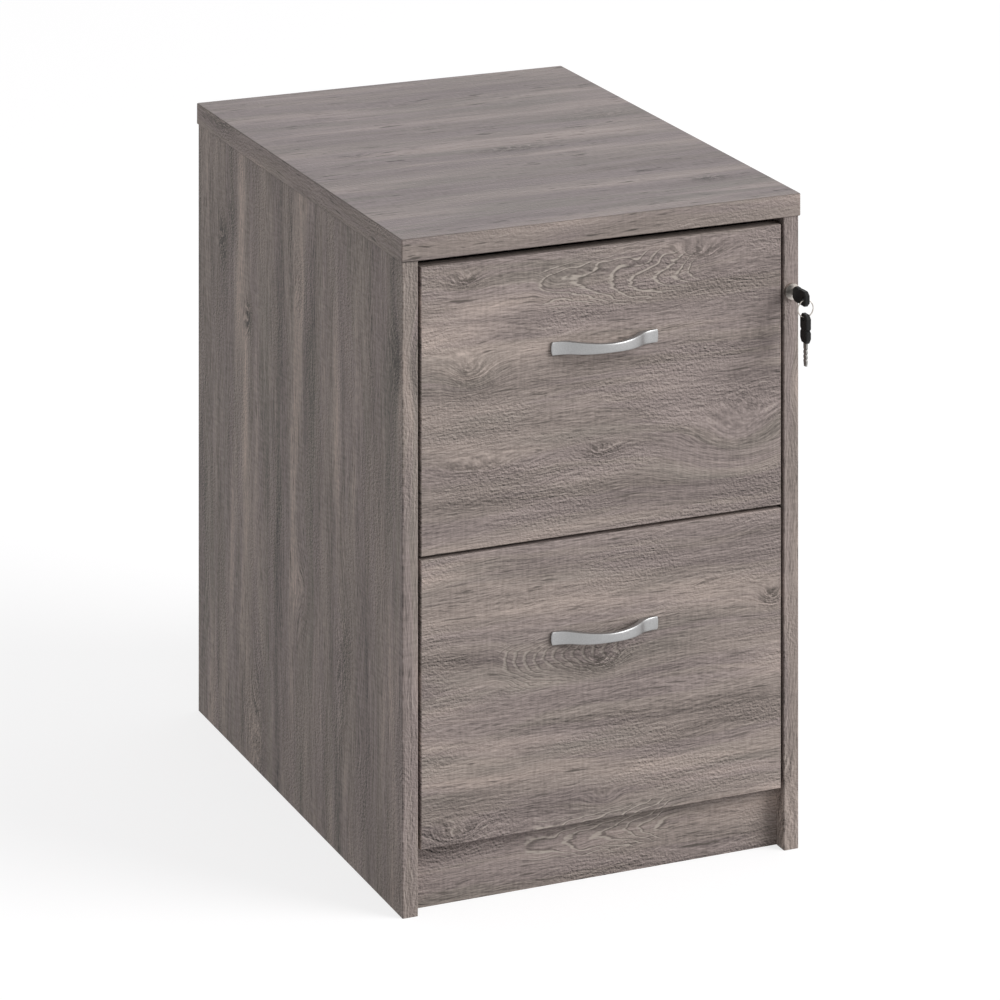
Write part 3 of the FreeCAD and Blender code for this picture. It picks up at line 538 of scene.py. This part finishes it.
bottom_front_arches = (
    (-0.105, -0.050, 0.028, 0.14, 85, 0, 5.0, 0.3),
    (-0.066, -0.241, 0.016, 0.17, 20, 100, 1.8, 0.72),
)
bottom_front_oak = weathered_oak("oak_across_bottom_front", "across", bottom_front_eyes, bottom_front_arches,
                                 seed=93.0, contrast=1.35, roughness=2.4, cracks=1.0)
finish_nodes(bottom_front_oak, "bottom_drawer_front", "front_plinth")

# Bow handles
# Zinc castings lacquered satin silver, thick and tall at the two feet and waisted to the middle of the
# bow. Two cross-head screws from inside the drawer hold each one.
satin_silver = mottled("satin_silver", 700, (0.36, 0.36, 0.36), (0.41, 0.41, 0.41), (0.34, 0.41),
                       metallic=0.9)
handle_foot, handle_flat, handle_bend = 0.0036, 0.003, 0.030
handle_bar, handle_grip = 0.006, 0.042
handle_waist, handle_waist_share = 0.0021, 0.85
handle_end = 0.002
handle_stations, handle_around, handle_corner = 161, 48, 0.4
handle_screw_half_pitch, handle_screw_shank = 0.048, 0.002


def rounded(turn, corner):
    """The rounded rectangle |a|^n + |b|^n = 1 at each angle, with corner being 2 / n."""
    return tuple(np.sign(part) * np.abs(part) ** corner for part in (np.cos(turn), np.sin(turn)))


def bow_handle(name, low, high):
    """Sections across the bar, each a rounded rectangle between the bow's outer line (a crown arc run
    into an arc at each foot) and its inner arc, carried from foot to foot along x, lower to the middle
    and drawn in to a point at both ends."""
    half, reach = (high.x - low.x) / 2, high.y - low.y
    x = half * np.sin(np.linspace(-math.pi / 2, math.pi / 2, handle_stations))
    run, rise = half - handle_flat, reach - handle_foot
    crown = (run**2 + rise**2) / (2 * rise) - handle_bend
    meet = run * crown / (crown + handle_bend)
    over = reach - crown + np.sqrt(np.maximum(crown**2 - x**2, 0))
    toe = np.minimum(np.abs(x) - run, 0)
    toe = handle_foot + handle_bend - np.sqrt(np.maximum(handle_bend**2 - toe**2, 0))
    outer = np.where(np.abs(x) < meet, over, toe)
    hollow = reach - handle_bar
    arc = (handle_grip**2 + hollow**2) / (2 * hollow)
    under = hollow - arc + np.sqrt(np.maximum(arc**2 - x**2, 0))
    inner = np.where(np.abs(x) < handle_grip, under, 0)
    ease = np.clip(np.abs(x) / (handle_waist_share * half), 0, 1)
    tall = (high.z - low.z) / 2 - handle_waist * (1 - ease**2 * (3 - 2 * ease))
    close = np.sqrt(1 - np.clip((np.abs(x) - half + handle_end) / handle_end, 0, 1) ** 2)
    across, up = rounded(np.linspace(0, 2 * math.pi, handle_around, endpoint=False), handle_corner)
    points = np.empty((1, handle_stations, handle_around, 3))
    points[..., 0] = x[:, None] + (low.x + high.x) / 2
    points[..., 1] = high.y - ((outer + inner) / 2)[:, None] + ((outer - inner) / 2 * close)[:, None] * across
    points[..., 2] = (low.z + high.z) / 2 + (tall * close)[:, None] * up
    return grid_mesh(name, points, satin_silver)


for level in levels:
    low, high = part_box(f"{level}_handle")
    handle = bow_handle(f"{level}_bow_handle", low, high)
    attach(handle, f"{level}_drawer")
    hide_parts(f"{level}_handle")
    screw_low, screw_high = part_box(f"{level}_handle_screws")
    front_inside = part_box(f"{level}_drawer_front")[1].y
    screw_z = (screw_low.z + screw_high.z) / 2
    seats = [(x, front_inside, screw_z) for x in (-handle_screw_half_pitch, handle_screw_half_pitch)]
    head, dome = (screw_high.z - screw_low.z) / 2, screw_high.y - front_inside
    screws = pan_screws(f"{level}_handle_fixing_screws", seats, 1, 1, head, dome, handle_screw_shank,
                        front_inside - screw_low.y, zinc_plate)
    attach(screws, f"{level}_drawer")
    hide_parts(f"{level}_handle_screws")

# Lock bar
# A zinc-plated strip that slides in two guides inside the right side panel. Turning the lock lifts it,
# and its studs come to stand in front of the catch on each drawer.
finish_nodes(zinc_plate, "lock_bar", "lock_studs", "lock_bar_guides", "lock_cam",
             *(f"{level}_lock_catch" for level in levels))

# Lock
# A chromed barrel let into the front edge of the right side panel, with its rose standing proud and
# the plug turning in it.
# Its warm, dim colour is partly the plating's own tone and partly painted reflection of the brown wood round
# it.
lock_chrome = mottled("lock_chrome", 300, (0.48, 0.44, 0.40), (0.58, 0.54, 0.50), (0.30, 0.40), metallic=1.0)
finish_nodes(lock_chrome, "lock_housing", "lock_plug")

# Keys
# Two flat steel keys with black moulded heads. One is in the lock, and the other hangs below it from
# a split ring, two turns of flat wire lying side by side.
key_steel = mottled("key_steel", 250, (0.27, 0.265, 0.25), (0.34, 0.33, 0.315), (0.34, 0.42), metallic=0.8)
key_plastic = mottled("key_plastic", 1400, (0.005, 0.005, 0.005), (0.011, 0.0105, 0.010), (0.45, 0.6),
                      specular=0.25, relief=0.00003)
finish_nodes(key_steel, "key_blade", "spare_key_blade")
finish_nodes(key_plastic, "key_head", "spare_key_head")

# Of the ring: width of the wire in metres; how far round the ends stand apart, the step takes and the
# ends close, in radians; and the part of the whole thickness that is half the wire's.
ring_wire, ring_gap, ring_step, ring_point, ring_thin = 0.0012, 0.1, 0.5, 0.08, 4.4
ring_stations, ring_around, ring_corner = 260, 14, 0.6


def split_ring(name, low, high):
    """A flat wire's rounded section carried twice round a circle in the x-z plane. It steps sideways by
    its own thickness as the second turn starts, and closes to a point at each end."""
    middle, thickness = (low + high) / 2, high.y - low.y
    turn = np.linspace(ring_gap, 4 * math.pi - ring_gap, ring_stations)
    step = np.clip((turn - 2 * math.pi) / ring_step, -1, 1)
    beside = thickness / 4 * np.sin(step * math.pi / 2)
    ends = np.minimum(turn - turn[0], turn[-1] - turn)
    close = np.sqrt(1 - (1 - np.clip(ends / ring_point, 0, 1)) ** 2)
    flat, thick = rounded(np.linspace(0, 2 * math.pi, ring_around, endpoint=False), ring_corner)
    radius = (high.x - low.x) / 2 - ring_wire / 2 + (close * ring_wire / 2)[:, None] * flat
    points = np.empty((1, ring_stations, ring_around, 3))
    points[..., 0] = middle.x + radius * np.cos(turn)[:, None]
    points[..., 1] = middle.y + beside[:, None] + (close * thickness / ring_thin)[:, None] * thick
    points[..., 2] = middle.z + radius * np.sin(turn)[:, None]
    return grid_mesh(name, points, lock_chrome)


ring = split_ring("split_key_ring", *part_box("key_ring"))
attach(ring, "key_ring")
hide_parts("key_ring")

# Floor
# A pale floor that runs out of the picture on every side. It shines to the eye alone, so that it shows
# white and keeps the cabinet's shadow.
floor_reach, floor_grey, floor_matt, floor_glow = 40, (0.36, 0.355, 0.36, 1), 0.9, 0.73


def seen_rays(tree):
    """1 on rays that show a thing to the eye, directly, in gloss or through glass, and 0 on the rest."""
    path = tree.nodes.new("ShaderNodeLightPath")
    shown = calc(tree, "MAXIMUM", path.outputs["Is Camera Ray"], path.outputs["Is Glossy Ray"])
    return calc(tree, "MAXIMUM", shown, path.outputs["Is Transmission Ray"])


bpy.ops.mesh.primitive_plane_add(size=floor_reach)
floor = bpy.context.object
floor.name = "studio_floor"
ground = bpy.data.materials.new("studio_floor")
ground.use_nodes = True
pale_floor = ground.node_tree
floor_shader = pale_floor.nodes["Principled BSDF"]
floor_shader.inputs["Base Color"].default_value = floor_grey
floor_shader.inputs["Roughness"].default_value = floor_matt
floor_shader.inputs["Specular IOR Level"].default_value = 0
floor_shader.inputs["Emission Color"].default_value = (1, 1, 1, 1)
pale_floor.links.new(calc(pale_floor, "MULTIPLY", seen_rays(pale_floor), floor_glow),
                     floor_shader.inputs["Emission Strength"])
floor.data.materials.append(ground)

# Light
# Soft studio light: a pale surround, which shows white to the eye and lights more weakly, and one broad
# lamp from the front right and above.
sky_light, sky_shown = 0.54, 0.46
lamp_place, lamp_aim = Vector((8.1, -6.8, 5.6)), Vector((0, 0, 0.4))
lamp_width, lamp_power = 7.2, 1080
world = bpy.data.worlds.new("studio")
scene.world = world
world.use_nodes = True
surround = world.node_tree
sky = surround.nodes["Background"]
sky.inputs["Color"].default_value = (1, 1, 1, 1)
surround.links.new(calc(surround, "MULTIPLY_ADD", seen_rays(surround), sky_shown, sky_light),
                   sky.inputs["Strength"])
softbox = bpy.data.lights.new("key_softbox", "AREA")
softbox.shape = "DISK"
softbox.size = lamp_width
softbox.energy = lamp_power
lamp = bpy.data.objects.new("key_softbox", softbox)
lamp.location = lamp_place
lamp.rotation_euler = (lamp_aim - lamp_place).to_track_quat("-Z", "Y").to_euler()
scene.collection.objects.link(lamp)

# Camera
# A long lens that looks down on the cabinet's left front corner, with the picture plane kept upright
# so that the cabinet's upright edges stay upright: the camera's parent holds the lean of the picture.
sensor_width, lens_ratio, view_end = 36, 4.92, 100
camera_place = (-2.1277, -4.9548, 2.1027)
yaw, pitch = math.radians(23.31), math.radians(18.23)
lens = bpy.data.cameras.new("camera")
lens.sensor_width = sensor_width
lens.lens = sensor_width * lens_ratio
lens.clip_end = view_end
camera = bpy.data.objects.new("camera", lens)
scene.collection.objects.link(camera)
stand = bpy.data.objects.new("camera_stand", None)
scene.collection.objects.link(stand)
ahead = Vector((math.sin(yaw) * math.cos(pitch), math.cos(yaw) * math.cos(pitch), -math.sin(pitch)))
right = Vector((math.cos(yaw), -math.sin(yaw), 0))
upright = Vector((0, 0, 1))
lean = Matrix((right, upright, -ahead)).transposed().to_4x4()
camera.parent = stand
camera.matrix_parent_inverse = Matrix.Translation(camera_place) @ lean
scene.camera = camera
